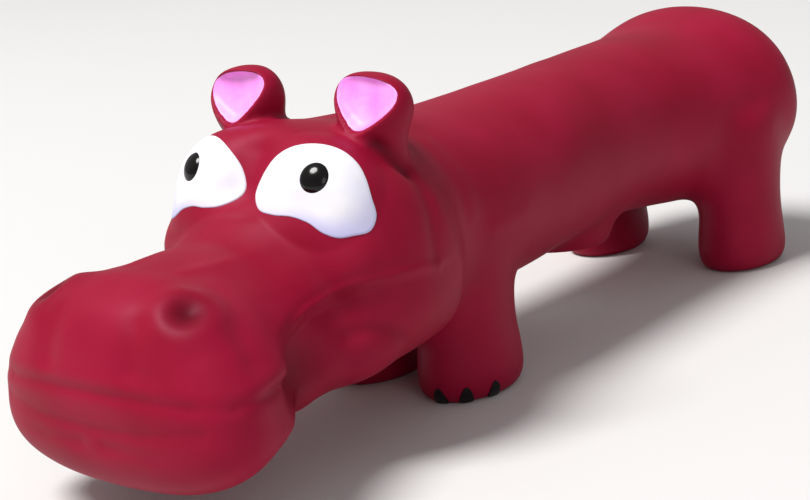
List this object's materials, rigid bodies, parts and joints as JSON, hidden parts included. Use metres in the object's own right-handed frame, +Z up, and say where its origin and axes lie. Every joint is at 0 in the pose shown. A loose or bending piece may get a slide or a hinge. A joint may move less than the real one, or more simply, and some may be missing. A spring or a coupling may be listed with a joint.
{
  "type": "squeaky dog toy",
  "caption": "Long-bodied latex hippo dog toy with stuffed skin, painted eyes, cupped ears, stub legs and a reed squeaker in its belly.",
  "frame": {"origin": "centre of the toy's box on the plane that its soles stand on", "axes": "+Z up, nose towards -Y and rump towards +Y, the toy's left towards +X"},
  "size_m": [0.0664, 0.232, 0.0766],
  "materials": {
    "latex": "matte crimson natural latex",
    "fibre": "loose polyester fibre stuffing",
    "ear_paint": "satin pink paint on latex",
    "eye_paint": "satin white paint on latex",
    "pupil_paint": "gloss black paint",
    "nail_paint": "black paint on latex",
    "squeaker_plastic": "moulded white plastic",
    "reed_film": "thin polyester film"
  },
  "bodies": {
    "torso": {"torso_skin": "latex", "torso_filling": "fibre", "squeaker_housing": "squeaker_plastic", "reed_seat": "squeaker_plastic", "reed_clamp": "squeaker_plastic", "squeaker_cover": "squeaker_plastic"},
    "back": {"back_panel": "latex"},
    "reed": {"reed": "reed_film"},
    "neck": {"neck_fold": "latex"},
    "head": {"head_skin": "latex", "head_filling": "fibre", "eye_white_left": "eye_paint", "eye_white_right": "eye_paint", "pupil_left": "pupil_paint", "pupil_right": "pupil_paint"},
    "ear_left": {"ear_left": "latex", "ear_lining_left": "ear_paint"},
    "ear_right": {"ear_right": "latex", "ear_lining_right": "ear_paint"},
    "leg_front_left": {"leg_front_left": "latex", "nail_front_left_1": "nail_paint", "nail_front_left_2": "nail_paint", "nail_front_left_3": "nail_paint"},
    "leg_front_right": {"leg_front_right": "latex", "nail_front_right_1": "nail_paint", "nail_front_right_2": "nail_paint", "nail_front_right_3": "nail_paint"},
    "leg_rear_left": {"leg_rear_left": "latex"},
    "leg_rear_right": {"leg_rear_right": "latex"}
  },
  "joints": [
    {"name": "back_squeeze", "type": "slide", "parent": "torso", "child": "back", "axis": [0, 0, -1], "range_m": [0, 0.01], "stiffness_N_per_m": 1500, "deforming": ["torso_filling"]},
    {"name": "reed_flutter", "type": "hinge", "parent": "torso", "child": "reed", "pos_m": [0, 0.0402, 0.024], "axis": [-1, 0, 0], "range_deg": [0, 5], "stiffness_Nm_per_rad": 0.0002},
    {"name": "neck_turn", "type": "hinge", "parent": "torso", "child": "neck", "pos_m": [0, -0.006, 0.03925], "axis": [0, 0, 1], "range_deg": [-12, 12], "stiffness_Nm_per_rad": 1.5},
    {"name": "head_nod", "type": "hinge", "parent": "neck", "child": "head", "pos_m": [0, -0.006, 0.03925], "axis": [1, 0, 0], "range_deg": [-10, 4], "stiffness_Nm_per_rad": 1.5},
    {"name": "ear_left_fold", "type": "hinge", "parent": "head", "child": "ear_left", "pos_m": [0.01586, -0.04835, 0.05971], "axis": [1, 0, 0], "range_deg": [-12, 12], "stiffness_Nm_per_rad": 0.05},
    {"name": "ear_right_fold", "type": "hinge", "parent": "head", "child": "ear_right", "pos_m": [-0.01586, -0.04835, 0.05971], "axis": [1, 0, 0], "range_deg": [-12, 12], "stiffness_Nm_per_rad": 0.05},
    {"name": "leg_front_left_flex", "type": "hinge", "parent": "torso", "child": "leg_front_left", "pos_m": [0.0133, -0.0196, 0.0275], "axis": [1, 0, 0], "range_deg": [-6, 6], "stiffness_Nm_per_rad": 1},
    {"name": "leg_front_right_flex", "type": "hinge", "parent": "torso", "child": "leg_front_right", "pos_m": [-0.0133, -0.0196, 0.0275], "axis": [1, 0, 0], "range_deg": [-6, 6], "stiffness_Nm_per_rad": 1},
    {"name": "leg_rear_left_flex", "type": "hinge", "parent": "torso", "child": "leg_rear_left", "pos_m": [0.021, 0.088, 0.0275], "axis": [1, 0, 0], "range_deg": [-6, 6], "stiffness_Nm_per_rad": 1},
    {"name": "leg_rear_right_flex", "type": "hinge", "parent": "torso", "child": "leg_rear_right", "pos_m": [-0.021, 0.088, 0.0275], "axis": [1, 0, 0], "range_deg": [-6, 6], "stiffness_Nm_per_rad": 1}
  ]
}
